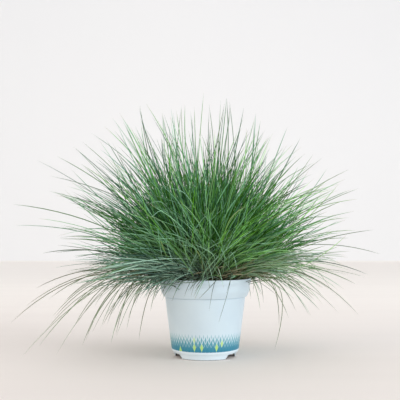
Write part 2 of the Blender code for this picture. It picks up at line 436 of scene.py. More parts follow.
# %% Pot profile
_, pot_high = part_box("pot")
RIM_RADIUS = pot_high.x
POT_HEIGHT = pot_high.z
COLLAR_RADIUS = RIM_RADIUS - 1.7 * MM
COLLAR_FOOT_RADIUS = RIM_RADIUS - 5.3 * MM
SHOULDER_RADIUS = RIM_RADIUS - 7.7 * MM
BASE_RADIUS = RIM_RADIUS - 16.0 * MM
FOOT_RADIUS = RIM_RADIUS - 20.5 * MM
LIP_HEIGHT = 8.0 * MM
LIP_FOOT = POT_HEIGHT - LIP_HEIGHT
COLLAR_BEND = 10.0 * MM
COLLAR_BEND_TOP = POT_HEIGHT - 13.0 * MM
BEND_CENTRE = (COLLAR_RADIUS - COLLAR_BEND, COLLAR_BEND_TOP)
COLLAR_SLOPE = 24.0
COLLAR_BOTTOM = POT_HEIGHT - 23.4 * MM
COLLAR_EDGE = 0.5 * MM
SHOULDER_HEIGHT = POT_HEIGHT - 25.0 * MM
GROOVE_DEPTH = 0.6 * MM
BASE_HEIGHT = 11.0 * MM
BASE_ROUND = 5.8 * MM
POT_WALL = 1.3 * MM
FLOOR_UNDERSIDE = 3.2 * MM
FLOOR_TOP = 4.8 * MM
FLOOR_ROUND = 4.0 * MM
FOOT_WIDTH = 2.4 * MM
FOOT_EDGE = 0.3 * MM
RIB_SET_BACK = 1.1 * MM
RIB_HEIGHT = 0.55 * MM
SOIL_EDGE_HEIGHT = POT_HEIGHT - 11.0 * MM
POT_SIDES = 192


def arc(centre, radius, start, end, steps):
    """Points on a round stretch of a profile, as (distance from the axis, height). Angles in degrees."""
    turns = [start + (end - start) * step / steps for step in range(steps + 1)]
    return [(centre[0] + radius * cosine(turn), centre[1] + radius * sine(turn)) for turn in turns]


def body_radius(height):
    """The pot body's outer radius at a height, on its straight taper."""
    share = (height - BASE_HEIGHT) / (SHOULDER_HEIGHT - BASE_HEIGHT)
    return BASE_RADIUS + (SHOULDER_RADIUS - BASE_RADIUS) * share


def inside_profile():
    """From the axis over the floor and up the inside, a wall's thickness in from the outside."""
    points = [(0.0, FLOOR_TOP), (FOOT_RADIUS * 0.6, FLOOR_TOP)]
    points += arc((FOOT_RADIUS - 3.5 * MM, FLOOR_TOP + FLOOR_ROUND), FLOOR_ROUND, -90, -20, 6)
    points += [
        (BASE_RADIUS - POT_WALL, BASE_HEIGHT + POT_WALL / 2),
        (SHOULDER_RADIUS - POT_WALL, COLLAR_BOTTOM),
        (COLLAR_FOOT_RADIUS - POT_WALL, COLLAR_BOTTOM + POT_WALL),
    ]
    points += arc(BEND_CENTRE, COLLAR_BEND - POT_WALL, -COLLAR_SLOPE, 0, 4)
    return points + [(COLLAR_RADIUS - POT_WALL, LIP_FOOT)]


def collar_profile():
    """Over the lip and down the collar, which ends in a slanting band with a fine groove under it."""
    lip = POT_WALL / 2
    swell = RIM_RADIUS - COLLAR_RADIUS
    points = arc((RIM_RADIUS - lip, POT_HEIGHT - lip), lip, 180, 0, 10)
    points += [
        (RIM_RADIUS, POT_HEIGHT - LIP_HEIGHT / 2),
        (RIM_RADIUS - swell * 0.2, LIP_FOOT + 2.2 * MM),
        (COLLAR_RADIUS + swell * 0.25, LIP_FOOT + 0.6 * MM),
        (COLLAR_RADIUS, LIP_FOOT - 1.2 * MM),
    ]
    points += arc(BEND_CENTRE, COLLAR_BEND, 0, -COLLAR_SLOPE, 5)
    edge_centre = (COLLAR_FOOT_RADIUS - COLLAR_EDGE, COLLAR_BOTTOM + COLLAR_EDGE)
    points += arc(edge_centre, COLLAR_EDGE, -COLLAR_SLOPE, -88, 4)
    groove = body_radius(COLLAR_BOTTOM) - GROOVE_DEPTH
    groove_foot = COLLAR_BOTTOM - 1.1 * MM
    return points + [
        (groove, COLLAR_BOTTOM),
        (groove, COLLAR_BOTTOM - 0.7 * MM),
        (body_radius(groove_foot), groove_foot),
    ]


def body_profile():
    """Down the tapered wall, round the base, over the foot ring and its rib, and back to the axis."""
    heights = np.linspace(COLLAR_BOTTOM - 2.0 * MM, BASE_HEIGHT + 2.0 * MM, 6)
    points = [(body_radius(height), height) for height in heights]
    points += arc((BASE_RADIUS - BASE_ROUND, BASE_HEIGHT), BASE_ROUND, 0, -48, 8)
    points += [(FOOT_RADIUS + 1.5 * MM, 5.3 * MM), (FOOT_RADIUS + 0.9 * MM, 4.0 * MM)]
    points += arc((FOOT_RADIUS - FOOT_EDGE, RIB_HEIGHT + FOOT_EDGE), FOOT_EDGE, 0, -90, 3)
    return points + [
        (FOOT_RADIUS - RIB_SET_BACK, RIB_HEIGHT),
        (FOOT_RADIUS - RIB_SET_BACK, 0.0),
        (FOOT_RADIUS - FOOT_WIDTH, 0.0),
        (FOOT_RADIUS - FOOT_WIDTH - FOOT_EDGE, FLOOR_UNDERSIDE),
        (0.0, FLOOR_UNDERSIDE),
    ]


profile = inside_profile() + collar_profile() + body_profile()
print(len(profile), "points in the pot's profile")

# %% [markdown]
# ## Turning the pot
# The profile goes once round the axis in small steps. Each face also gets its place in a flat map: its
# turn across, and its way along the profile upwards.

# %% Turn the pot
def turned(name, outline, sides):
    """An object turned round the upright axis from an outline that starts and ends on it, with a map."""
    points = []
    rings = []
    lengths = [0.0]
    for before, here in zip(outline, outline[1:]):
        lengths.append(lengths[-1] + math.dist(before, here))
    for radius, height in outline:
        if radius == 0.0:
            rings.append([len(points)] * (sides + 1))
            points.append((0.0, 0.0, height))
            continue
        start = len(points)
        for side in range(sides):
            turn = math.tau * side / sides
            points.append((radius * math.sin(turn), -radius * math.cos(turn), height))
        rings.append([start + side for side in range(sides)] + [start])
    faces = []
    places = []
    for row, (lower, upper) in enumerate(zip(rings, rings[1:])):
        low, high = (lengths[row] / lengths[-1], lengths[row + 1] / lengths[-1])
        for side in range(sides):
            left, right = (side / sides, (side + 1) / sides)
            corners = (
                (lower[side], (left, low)),
                (lower[side + 1], (right, low)),
                (upper[side + 1], (right, high)),
                (upper[side], (left, high)),
            )
            kept = [c for i, c in enumerate(corners) if c[0] != corners[i - 1][0]]
            faces.append([c[0] for c in kept])
            places += [c[1] for c in kept]
    made = mesh_object(name, points, faces)
    set_map(made, places)
    return made


pot = turned("moulded_pot", profile, POT_SIDES)
shape = bmesh.new()
shape.from_mesh(pot.data)
bmesh.ops.recalc_face_normals(shape, faces=shape.faces[:])
shape.to_mesh(pot.data)
shape.free()
print("pot", [round(1000 * d, 1) for d in pot.dimensions], "mm")

# %% [markdown]
# ## The feet
# The foot ring is cut away between four feet, which lets water drain: two wide ones in front and behind,
# and two narrow ones at the sides. Their sides slant, so the cutters are curved blocks with slanting sides
# and rounded upper corners.

# %% Cut the notches
NOTCH_HEIGHT = 6.0 * MM
NOTCH_INNER_RADIUS = 32.0 * MM
NOTCH_OUTER_RADIUS = BASE_RADIUS + 2.0 * MM
WIDE_FOOT_HALF_ANGLE = 48.0
SIDE_FOOT_HALF_ANGLE = 9.0
WIDE_FOOT_SLANT = 5.0
SIDE_FOOT_SLANT = 2.0
NOTCH_CORNER = 1.3 * MM
NOTCH_CORNER_STEPS = 4
FEET_TURNED = -4.2
SHARP_EDGE_ANGLE = math.radians(38.0)


def notch_outline(start, end, start_slant, end_slant):
    """A notch's outline as (angle, height): wider at the bottom, with rounded upper corners."""
    reach = math.degrees(NOTCH_CORNER / FOOT_RADIUS)
    top = NOTCH_HEIGHT
    corner = []
    for step in range(NOTCH_CORNER_STEPS + 1):
        bend = 90.0 * step / NOTCH_CORNER_STEPS
        corner.append((reach * (1 - cosine(bend)), top - NOTCH_CORNER * (1 - sine(bend))))
    points = [(start - start_slant, -top), (start - start_slant, 0.0)]
    points += [(start + inward, height) for inward, height in corner]
    points += [(end - inward, height) for inward, height in reversed(corner)]
    return points + [(end + end_slant, 0.0), (end + end_slant, -top)]


def notch_cutter(outline):
    """A curved block that cuts one notch between two feet."""
    shape = bmesh.new()
    loops = []
    for radius in (NOTCH_INNER_RADIUS, NOTCH_OUTER_RADIUS):
        corners = [(radius * sine(angle), -radius * cosine(angle), height) for angle, height in outline]
        loops.append([shape.verts.new(corner) for corner in corners])
    inner, outer = loops
    count = len(outline)
    for i in range(count):
        following = (i + 1) % count
        shape.faces.new((inner[i], inner[following], outer[following], outer[i]))
    shape.faces.new(list(reversed(inner)))
    shape.faces.new(outer)
    bmesh.ops.recalc_face_normals(shape, faces=shape.faces[:])
    bmesh.ops.triangulate(shape, faces=[f for f in shape.faces if len(f.verts) > 4])
    return bmesh_object("notch_cutter", shape)


def cut_notches(pot):
    """Cuts the four notches and keeps the result in the pot's own mesh."""
    cutters = []
    wide, narrow = (WIDE_FOOT_SLANT, SIDE_FOOT_SLANT)
    sides = (
        (WIDE_FOOT_HALF_ANGLE, 90.0 - SIDE_FOOT_HALF_ANGLE, wide, narrow),
        (90.0 + SIDE_FOOT_HALF_ANGLE, 180.0 - WIDE_FOOT_HALF_ANGLE, narrow, wide),
    )
    for turned_by in (FEET_TURNED, 180.0 + FEET_TURNED):
        for start, end, start_slant, end_slant in sides:
            outline = notch_outline(start + turned_by, end + turned_by, start_slant, end_slant)
            cutter = notch_cutter(outline)
            cutters.append(cutter)
            cut = pot.modifiers.new("notch", "BOOLEAN")
            cut.operation = "DIFFERENCE"
            cut.object = cutter
    bpy.context.view_layer.update()
    graph = bpy.context.evaluated_depsgraph_get()
    cut_mesh = bpy.data.meshes.new_from_object(pot.evaluated_get(graph))
    pot.modifiers.clear()
    pot.data = cut_mesh
    for cutter in cutters:
        bpy.data.objects.remove(cutter, do_unlink=True)
    pot.data.shade_smooth()
    pot.data.set_sharp_from_angle(angle=SHARP_EDGE_ANGLE)


cut_notches(pot)
print("pot", len(pot.data.polygons), "faces after the notches were cut")

# %% [markdown]
# ## The pot's finish
# The plastic is a cool white with a soft sheen and cloudy where it cooled. The foot ring is painted paler:
# a painted light for the light that the bright table throws up onto it. It has fine scuffs, a little soil
# inside the rim and plenty underneath, where the dark soil colour also paints the shade under the pot.
# Round its foot runs a printed band. Ours is a plain geometric print of our own: rows of upright lozenges
# that shrink and fade as they rise, in blues with a few limes. It is drawn from the angle round the axis
# and the height, so it wraps the pot without a seam and needs no picture.

# %% Pot finish
PLASTIC = (0.540, 0.655, 0.740)
PLASTIC_CLOUD = (0.575, 0.690, 0.765)
# Painted light: the foot ring's paler colour stands in for the light that the table throws up onto it
PLASTIC_PAINTED_BOUNCE = (0.665, 0.775, 0.855)
SOIL_DARK = (0.030, 0.019, 0.012)
INK_DEEP = (0.012, 0.185, 0.30)
INK_LIGHT = (0.08, 0.37, 0.43)
INK_LIME = (0.41, 0.65, 0.18)
PRINT_LOW = 10.8 * MM
PRINT_HIGH = 33.0 * MM
LOZENGES_ROUND = 60.0
LOZENGE_EDGE = (1.08, 0.92)
BLUE_SHARE = 0.90
# How dark the underside and the inside of the foot ring are: soil, and painted shade for the dark under the
# pot
UNDERSIDE_SOIL_AND_SHADE = 0.93
FOOT_DIRT = 0.10
# Each row of lozenges: its middle height, its half height, the share of its place that a lozenge
# fills across, how far aside it stands, and how strong its ink is
LOZENGE_ROWS = (
    (11.6 * MM, 6.0 * MM, 1.00, 0.0, 1.0),
    (16.6 * MM, 5.6 * MM, 0.88, 0.5, 0.98),
    (21.4 * MM, 5.2 * MM, 0.72, 0.0, 0.94),
    (26.0 * MM, 4.6 * MM, 0.55, 0.5, 0.80),
    (30.2 * MM, 3.4 * MM, 0.34, 0.0, 0.50),
)


def lozenge_row(tree, around, height, row):
    """One row of the print: how much ink lies at a place, and a random number for each lozenge."""
    middle, half, fills, aside, strength = row
    shifted = maths(tree, "ADD", around, aside)
    across = maths(tree, "ABSOLUTE", maths(tree, "SUBTRACT", maths(tree, "FRACT", shifted), 0.5))
    up = maths(tree, "ABSOLUTE", maths(tree, "SUBTRACT", height, middle))
    across_share = maths(tree, "DIVIDE", across, fills / 2)
    away = maths(tree, "ADD", across_share, maths(tree, "DIVIDE", up, half))
    chance = node(tree, "ShaderNodeTexWhiteNoise", noise_dimensions="2D")
    numbered = node(tree, "ShaderNodeCombineXYZ")
    feed(tree, numbered.inputs[0], maths(tree, "FLOOR", shifted))
    numbered.inputs[1].default_value = round(middle / MM)
    tree.links.new(numbered.outputs[0], chance.inputs["Vector"])
    return times(tree, mapped(tree, away, *LOZENGE_EDGE), strength), chance.outputs["Value"]


def printed(tree, place, plastic):
    """The plastic's colour with the band printed on it."""
    x, y, height = split(tree, place)
    turn = maths(tree, "ARCTAN2", x, maths(tree, "MULTIPLY", y, -1.0))
    around = maths(tree, "MULTIPLY", turn, LOZENGES_ROUND / math.tau)
    risen = mapped(tree, height, PRINT_LOW, PRINT_HIGH, smooth=False)
    blue = mixed(tree, risen, INK_DEEP, INK_LIGHT)
    colour = plastic
    for row in reversed(LOZENGE_ROWS):
        ink, chance = lozenge_row(tree, around, height, row)
        lime = maths(tree, "GREATER_THAN", chance, BLUE_SHARE)
        colour = mixed(tree, ink, colour, mixed(tree, lime, blue, INK_LIME))
    outside = maths(tree, "GREATER_THAN", out_from_axis(tree, place), BASE_RADIUS - POT_WALL / 2)
    above = maths(tree, "GREATER_THAN", height, PRINT_LOW)
    return mixed(tree, times(tree, outside, above), plastic, colour)


def pot_dirt_and_shade(tree, place):
    """How dark the pot is painted: soil inside above the soil and faintly low down outside, and soil with
    painted shade within the foot ring.
    """
    _, _, height = split(tree, place)
    out = out_from_axis(tree, place)
    inside = maths(tree, "LESS_THAN", out, COLLAR_RADIUS - POT_WALL / 2)
    high = maths(tree, "GREATER_THAN", height, COLLAR_BEND_TOP - 2.0 * MM)
    dusty = times(tree, soil_dust_and_shade(tree, place, SOIL_EDGE_HEIGHT, 9.0 * MM), inside, high)
    # Within the foot ring and underneath: soil, and painted shade under the pot
    within = maths(tree, "LESS_THAN", out, FOOT_RADIUS - 0.8 * MM)
    low = maths(tree, "LESS_THAN", height, NOTCH_HEIGHT + 1.0 * MM)
    soiled_and_shaded = times(tree, within, low, UNDERSIDE_SOIL_AND_SHADE)
    specks = mottling(tree, place, 700.0, detail=5.0)
    low_dirt = times(tree, mapped(tree, height, 5.0 * MM, 0.0), FOOT_DIRT, specks)
    return maths(tree, "MAXIMUM", maths(tree, "ADD", dusty, low_dirt, clamp=True), soiled_and_shaded)


def pot_material():
    """Cool white polypropylene: printed, painted paler in the foot ring as painted light, soiled inside, and
    soiled underneath with painted shade.
    """
    material, tree, shader, place = new_material("pot_plastic")
    _, _, height = split(tree, place)
    cloudy = mixed(tree, mottling(tree, place, 26.0), PLASTIC, PLASTIC_CLOUD)
    # Painted light: below the print the foot ring is painted paler
    painted_foot_light = mapped(tree, height, PRINT_LOW + 1.0 * MM, PRINT_LOW - 1.0 * MM)
    inked = printed(tree, place, mixed(tree, painted_foot_light, cloudy, PLASTIC_PAINTED_BOUNCE))
    # The pot's colour with its soil, and with painted shade underneath
    soiled_and_shaded = mixed(tree, pot_dirt_and_shade(tree, place), inked, SOIL_DARK)
    tree.links.new(soiled_and_shaded, shader.inputs["Base Color"])
    tree.links.new(mottling(tree, place, 90.0, 0.36, 0.50), shader.inputs["Roughness"])
    bumped(tree, shader, mottling(tree, place, 1400.0, detail=2.0), 0.12, 0.0002)
    return material


pot.data.materials.clear()
pot.data.materials.append(pot_material())
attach(pot, "root")
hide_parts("pot")
print("pot finished")

# %% [markdown]
# ## The soil
# Nursery soil is dark moist peat. It fills the pot to a finger's width below the rim, stands a little
# higher in the middle, and is full of crumbs and fibres. The plug is turned and then pushed in and out
# by noise, because such lumps follow no rule that could be drawn.

# %% Soil
soil_low, soil_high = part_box("soil")
SOIL_RADIUS = soil_high.x
SOIL_MOUND = 5.0 * MM
# The lumps, as how many stand in a metre and how high they are in millimetres
SOIL_LUMPS = ((90.0, 1.1), (240.0, 0.66), (600.0, 0.38))
SOIL_SIDES = 120
SOIL_RINGS = 45
PEAT_LIGHT = (0.075, 0.047, 0.028)
PEAT_FIBRE = (0.20, 0.13, 0.075)
CRUMBS = 420
CRUMBS_SEED = 5


def soil_height(x, y):
    """The height of the soil's surface at a place: a low mound with lumps of several sizes."""
    share = min(math.hypot(x, y) / SOIL_RADIUS, 1.0)
    here = Vector((x, y, 0.0))
    lumps = sum(height * noise.noise(here * scale) for scale, height in SOIL_LUMPS)
    return SOIL_EDGE_HEIGHT - 0.5 * MM + SOIL_MOUND * (1.0 - share**2) + lumps * MM


def make_soil():
    """The plug of soil, with its side just clear of the pot."""
    gap = POT_WALL + 0.3 * MM
    side = [
        (0.0, soil_low.z),
        (FOOT_RADIUS - gap - 0.3 * MM, soil_low.z),
        (BASE_RADIUS - gap, BASE_HEIGHT + POT_WALL),
        (SHOULDER_RADIUS - gap, COLLAR_BOTTOM),
        (COLLAR_FOOT_RADIUS - gap - 0.3 * MM, COLLAR_BOTTOM + 2.0 * MM),
        (COLLAR_RADIUS - gap, COLLAR_BEND_TOP),
    ]
    top = [(SOIL_RADIUS * share, SOIL_EDGE_HEIGHT) for share in np.linspace(1.0, 0.0, SOIL_RINGS)]
    soil = turned("potting_soil", side + top, SOIL_SIDES)
    for vertex in soil.data.vertices:
        if vertex.co.z > SOIL_EDGE_HEIGHT - 0.1 * MM:
            vertex.co.z = soil_height(vertex.co.x, vertex.co.y)
    return soil


def make_crumbs():
    """Loose crumbs of peat on the surface, as one mesh of small uneven lumps."""
    chance = random.Random(CRUMBS_SEED)
    shape = bmesh.new()
    for _ in range(CRUMBS):
        turn = chance.uniform(0.0, math.tau)
        radius = SOIL_RADIUS * 0.96 * math.sqrt(chance.random())
        size = chance.uniform(0.5, 1.9) * MM
        x, y = (radius * math.cos(turn), radius * math.sin(turn))
        lump = bmesh.ops.create_icosphere(shape, subdivisions=1, radius=size)["verts"]
        flat = chance.uniform(0.5, 0.8)
        centre = Vector((x, y, soil_height(x, y) + size * 0.25))
        for vertex in lump:
            uneven = 1.0 + 0.5 * noise.noise(vertex.co * 900.0 + centre * 500.0)
            vertex.co = Vector((vertex.co.x, vertex.co.y, vertex.co.z * flat)) * uneven + centre
    return bmesh_object("soil_crumbs", shape)


def soil_material():
    """Dark moist peat with paler fibres and a grain that breaks up the light."""
    material, tree, shader, place = new_material("soil")
    peat = mixed(tree, mottling(tree, place, 300.0, detail=6.0), SOIL_DARK, PEAT_LIGHT)
    fibres = mapped(tree, mottling(tree, place, 1100.0, detail=2.0), 0.86, 1.0)
    tree.links.new(mixed(tree, fibres, peat, PEAT_FIBRE), shader.inputs["Base Color"])
    tree.links.new(mottling(tree, place, 160.0, 0.82), shader.inputs["Roughness"])
    shader.inputs["Specular IOR Level"].default_value = 0.25
    bumped(tree, shader, mottling(tree, place, 900.0, detail=6.0), 0.8, 0.0008)
    return material


soil = make_soil()
soil_finish = soil_material()
soil.data.materials.append(soil_finish)
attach(soil, "root")
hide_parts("soil")
crumbs = make_crumbs()
crumbs.data.materials.append(soil_finish)
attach(crumbs, "root")
print("soil", len(soil.data.polygons), "faces and", CRUMBS, "crumbs")

# %% [markdown]
# ## The shape of one blade
# A blade is folded along its length into a needle about a millimetre thick, with a keel underneath and
# a groove on top. It leaves its sheath steeply, bends most near its foot and runs out straight to a sharp
# tip. A quadratic curve through three points (foot, rise and tip) bends just so. The folded section is
# carried along it and slowly twisted, as real blades are.

# %% One blade
STATIONS = 15
# The folded section, as shares of the blade's width: two margins, the groove between them and the keel
SECTION = np.array(
    [(0.50, 0.18), (0.0, 0.02), (-0.50, 0.18), (-0.36, -0.22), (0.0, -0.42), (0.36, -0.22)]
)
CORNERS = len(SECTION)
# How much each corner belongs to the groove
GROOVE_SHARE = np.array([0.5, 1.0, 0.5, 0.1, 0.0, 0.1])
BLADE_WIDTH = 1.10 * MM
SHEATH_SWELL = 0.45
SHEATH_LENGTH = 16.0 * MM
# The higher the first number, the later a blade begins to taper; the second is what is left at its tip
TAPER = (11.0, 0.012)


def unit(vectors):
    """Vectors at length 1."""
    return vectors / np.maximum(np.linalg.norm(vectors, axis=-1, keepdims=True), 1e-12)


def blade_path(foot, rise, tip, waver):
    """Points along a blade, with a small waver to each side."""
    share = np.linspace(0.0, 1.0, STATIONS)[:, None]
    path = foot * (1 - share) ** 2 + rise * 2 * share * (1 - share) + tip * share**2
    plane = np.cross(rise - foot, tip - foot)
    if np.linalg.norm(plane) < 1e-6:
        plane = np.cross(tip - foot, (0.3, 1.0, 0.2))
    plane = unit(plane)
    swing = waver[0] * np.sin(math.pi * share) + waver[1] * np.sin(2 * math.pi * share)
    return path + plane * swing, plane


def blade_surface(path, plane, width, twist):
    """The points of one blade's skin, station by station, from its path."""
    share = np.linspace(0.0, 1.0, STATIONS)[:, None]
    run = unit(np.gradient(path, axis=0))
    side = unit(plane - run * (run @ plane)[:, None])
    top = np.cross(run, side)
    turn = twist[0] + twist[1] * share
    across = side * np.cos(turn) + top * np.sin(turn)
    upward = top * np.cos(turn) - side * np.sin(turn)
    length = np.linalg.norm(np.diff(path, axis=0), axis=1).sum()
    sheath = 1.0 + SHEATH_SWELL * np.exp(-((share * length / SHEATH_LENGTH) ** 2))
    thick = width * sheath * np.maximum(1.0 - share ** TAPER[0], TAPER[1]) ** 0.8
    aside, high = (SECTION[None, :, axis, None] for axis in (0, 1))
    corners = across[:, None, :] * aside + upward[:, None, :] * high
    return path[:, None, :] + corners * thick[:, None, :]


def blade_faces():
    """The faces of one blade and the place of each face's corners in a unit map."""
    faces = []
    places = []
    low, high = (0.01, 0.99)
    for station in range(STATIONS - 1):
        start, end = (low + (high - low) * step / (STATIONS - 1) for step in (station, station + 1))
        for corner in range(CORNERS):
            following = (corner + 1) % CORNERS
            here, there = (station * CORNERS, (station + 1) * CORNERS)
            faces.append((here + corner, here + following, there + following, there + corner))
            left, right = (corner / CORNERS, (corner + 1) / CORNERS)
            places += [(left, start), (right, start), (right, end), (left, end)]
    cap = [(0.5 + 0.8 * x, 0.004 + 0.006 * y) for x, y in SECTION]
    faces.append(tuple(reversed(range(CORNERS))))
    places += list(reversed(cap))
    faces.append(tuple((STATIONS - 1) * CORNERS + corner for corner in range(CORNERS)))
    places += [(x, 0.992 + y) for x, y in cap]
    return faces, np.array(places)


BLADE_FACES, BLADE_MAP = blade_faces()
print(len(BLADE_FACES), "faces a blade")

# %% [markdown]
# ## Where the tips lie
# From every side the clump is a dome: round above, and hanging like a skirt below its widest level. The
# dome's sizes come from the plain tufts. A blade's place in the clump is its turn round the axis, how far
# down the dome its tip lies, and what share of the way to the dome it reaches.

# %% The dome
tuft_points = {
    name: np.array([v.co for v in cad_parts[name].data.vertices]) for name in tuft_names
}
everywhere = np.concatenate(list(tuft_points.values()))
PLANT_TOP = everywhere[:, 2].max()
SPREAD = everywhere[:, 1].max()
SKIRT_BOTTOM = everywhere[:, 2].min()
WIDEST_HEIGHT = 150.0 * MM
SKIRT_SQUARENESS = 0.35
HEART = np.array((0.0, 0.0, SOIL_EDGE_HEIGHT + 20.0 * MM))
CROWN_RADIUS = 44.0 * MM


def around(turn, radius, height=0.0):
    """A point at an angle in degrees from the front, turning towards +X."""
    return np.array((radius * sine(turn), -radius * cosine(turn), height))


def direction(turn, down):
    """A way of length 1 that leans out at a turn, by an angle in degrees from straight up."""
    return around(turn, sine(down), cosine(down))


def turn_of(point):
    """A point's angle in degrees from the front, turning towards +X."""
    return math.degrees(math.atan2(point[0], -point[1]))


def dome_point(turn, down, reach):
    """Where a blade's tip lies."""
    across = sine(down)
    along = cosine(down)
    if along > 0.0:
        radius = SPREAD * across
        height = WIDEST_HEIGHT + (PLANT_TOP - WIDEST_HEIGHT) * along
    else:
        radius = SPREAD * across**SKIRT_SQUARENESS
        height = WIDEST_HEIGHT - (WIDEST_HEIGHT - SKIRT_BOTTOM) * (-along) ** SKIRT_SQUARENESS
    return HEART + (around(turn, radius, height) - HEART) * reach


def way_to_tip(points):
    """Which way a plain tuft points: from the heart of the clump to the tuft's furthest tip."""
    return unit(points[np.linalg.norm(points - HEART, axis=1).argmax()] - HEART)


tuft_ways = np.array([way_to_tip(points) for points in tuft_points.values()])
print("dome", round(SPREAD / MM), "mm wide each way,", round(PLANT_TOP / MM), "mm high")

# %% [markdown]
# ## Growing the clump
# The blades are grown one at a time. Each has its foot in the crown, further out the lower its tip lies,
# and leans out more the lower it will end. One rule keeps them off the pot: a blade that would cut through
# the rim is lifted until it clears it. Every blade then joins the plain tuft that points its way, so that
# the fine blades stand exactly where the coarse ones were.

# %% Growing one blade
LEAN_SHARE = 0.60
STEEPEST_LEAN = 62.0
RISE_SHARE = 0.46
RISE_GAIN = 0.001
RIM_GAP = 1.5 * MM
FOOT_DEPTH = 1.5 * MM
LIFT = 6.0 * MM
MOST_LIFTS = 12
# How far a blade can be twisted at its foot, and how much further at its tip, in radians
FOOT_TWIST = 0.6
TIP_TWIST = 2.2
# How pale a blade can be, where 1 is a common pale one
PALEST = 1.4
CLUMP_SEED = 21
chance = random.Random(CLUMP_SEED)
grown = [[] for _ in tuft_names]


def crown_foot(turn, radius):
    """A blade's foot in the soil, just under its surface."""
    foot = around(turn, radius)
    foot[2] = soil_height(foot[0], foot[1]) - FOOT_DEPTH
    return foot


def foot_at(turn, nearest, furthest):
    """A foot at a turn, somewhere between two shares of the crown's radius."""
    return crown_foot(turn, CROWN_RADIUS * chance.uniform(nearest, furthest))


def width_within(thinnest, thickest):
    """A blade's width, somewhere between two shares of the common one."""
    return BLADE_WIDTH * chance.uniform(thinnest, thickest)


def mostly_low(low, span, power):
    """A number from low up to low + span: the higher the power, the more often a low one."""
    return low + span * chance.random() ** power


def cuts_pot(path):
    """Whether a path runs through the pot's wall or rim."""
    out = np.hypot(path[:, 0], path[:, 1])
    low = path[:, 2] < POT_HEIGHT + RIM_GAP
    return bool((low & (out > COLLAR_RADIUS - POT_WALL - RIM_GAP) & (out < RIM_RADIUS + RIM_GAP)).any())


def grow(foot, rise, tip, width, fresh, dry, tone, waver):
    """Adds one blade to the tuft that points its way."""
    for _ in range(MOST_LIFTS):
        path, plane = blade_path(foot, rise, tip, waver)
        if not cuts_pot(path):
            break
        rise = rise + UP * LIFT
    twist = (chance.uniform(-FOOT_TWIST, FOOT_TWIST), chance.uniform(-TIP_TWIST, TIP_TWIST))
    surface = blade_surface(path, plane, width, twist)
    tuft = int((tuft_ways @ unit(tip - HEART)).argmax())
    grown[tuft].append((surface, fresh, dry, tone))


def rise_for(foot, tip, turn, down, lean_more=0.0):
    """The point that a blade first rises towards."""
    start = direction(turn, min(LEAN_SHARE * down, STEEPEST_LEAN) + lean_more)
    return foot + start * np.linalg.norm(tip - foot) * (RISE_SHARE + RISE_GAIN * down)


def blade_count():
    """How many blades have grown so far."""
    return sum(len(tuft) for tuft in grown)


print("ready to grow")

# %% [markdown]
# ## The dome of blades
# Most of the blades belong to the dome. They are spread evenly by the golden angle, which never lines up
# two of them, and then drawn into bunches by a soft noise. In front the clump has fallen open, and on the
# right it is drawn in a little.

# %% The dome of blades
DOME_BLADES = 4250
PALE_ARE_FEW = 2.1
# Painted light: how much paler blades out to the right and to the left are made, standing in for the lamps'
# light on those sides
PAINTED_LIGHT_RIGHT = 1.2
PAINTED_LIGHT_LEFT = 0.8
DRAWN_IN_RIGHT = 0.066
LONGER_LEFT = 0.20
FOOT_SPREAD = 30.0
TURN_SPREAD = 20.0
LEAN_SPREAD = 12.0
TURN_UNEVEN = 4.0
DOWN_UNEVEN = 5.0
HIGHEST_DOWN = 0.5
GOLDEN_TURN = 137.508
LOWEST_DOME = 92.0
SHORTEST_REACH_UP = 0.50
SHORTEST_REACH_ASIDE = 0.36
REACH_SPREAD = 0.15
LONGEST_REACH = 0.97
BUNCH_SCALE = 5.0
BUNCH_PULL = 9.0
BUNCH_REACH = 0.10
# Noise that gives a vector starts at another place on every run, unless it gets a seed
BUNCH_SEED = 2
noise.seed_set(BUNCH_SEED)
# The clump has fallen open in front: the lower a blade there points, the more often it is missing
HOLLOW_EDGE = 0.40
HOLLOW_DOWN = (25.0, 66.0)
HOLLOW_THINNED = (0.30, 0.86)
HOLLOW_DRAWN_BACK = 0.6
# How far a blade strays from its curve, in millimetres: to one side, and to both
WAVER = (2.2, 1.3)


def wavering(strength):
    """How far a blade strays from its curve, to one side and then to both."""
    return tuple(chance.gauss(0.0, spread) * strength * MM for spread in WAVER)


def tone_and_side_light(tip):
    """How pale a blade is: most are dark and few are pale, at random, and painted light makes blades out to
    the sides paler, most on the right.
    """
    # Painted light on blades out to the sides, most on the right
    aside = PAINTED_LIGHT_RIGHT * max(tip[0], 0.0) + PAINTED_LIGHT_LEFT * max(-tip[0], 0.0)
    return chance.random() ** PALE_ARE_FEW + min(aside, 0.25)


def freshness(tip):
    """Inner and right-hand blades are fresh green, and outer, low and left-hand ones have a blue bloom."""
    out = math.hypot(tip[0], tip[1]) - 120.0 * MM
    low = max(0.0, 125.0 * MM - tip[2])
    return 0.38 + 1.5 * tip[0] - 1.5 * out - 8.0 * low + chance.uniform(-0.75, 0.75)


def dome_reach(turn, down):
    """What share of the way to the dome a blade reaches: most are short, and fewer so at the upper left."""
    shortest = np.interp(down, (40.0, 90.0), (SHORTEST_REACH_UP, SHORTEST_REACH_ASIDE))
    upper = np.interp(down, (5.0, 15.0, 35.0, 50.0), (0.0, 1.0, 1.0, 0.0))
    upper_left = max(-sine(turn), 0.0) * upper
    spread = REACH_SPREAD * (1.0 + LONGER_LEFT * upper_left)
    further = chance.expovariate(1.0 / spread)
    while shortest + further > LONGEST_REACH:
        further = chance.expovariate(1.0 / spread)
    return shortest + further


def bunched(turn, down, reach):
    """A blade's place drawn towards its neighbours', so that the blades stand in bunches."""
    pull = noise.noise_vector(Vector(direction(turn, down)) * BUNCH_SCALE)
    spread = max(sine(down), 0.3)
    longer = 1.0 + BUNCH_REACH * pull.z
    return turn + BUNCH_PULL * pull.x / spread, down + BUNCH_PULL * pull.y, reach * longer


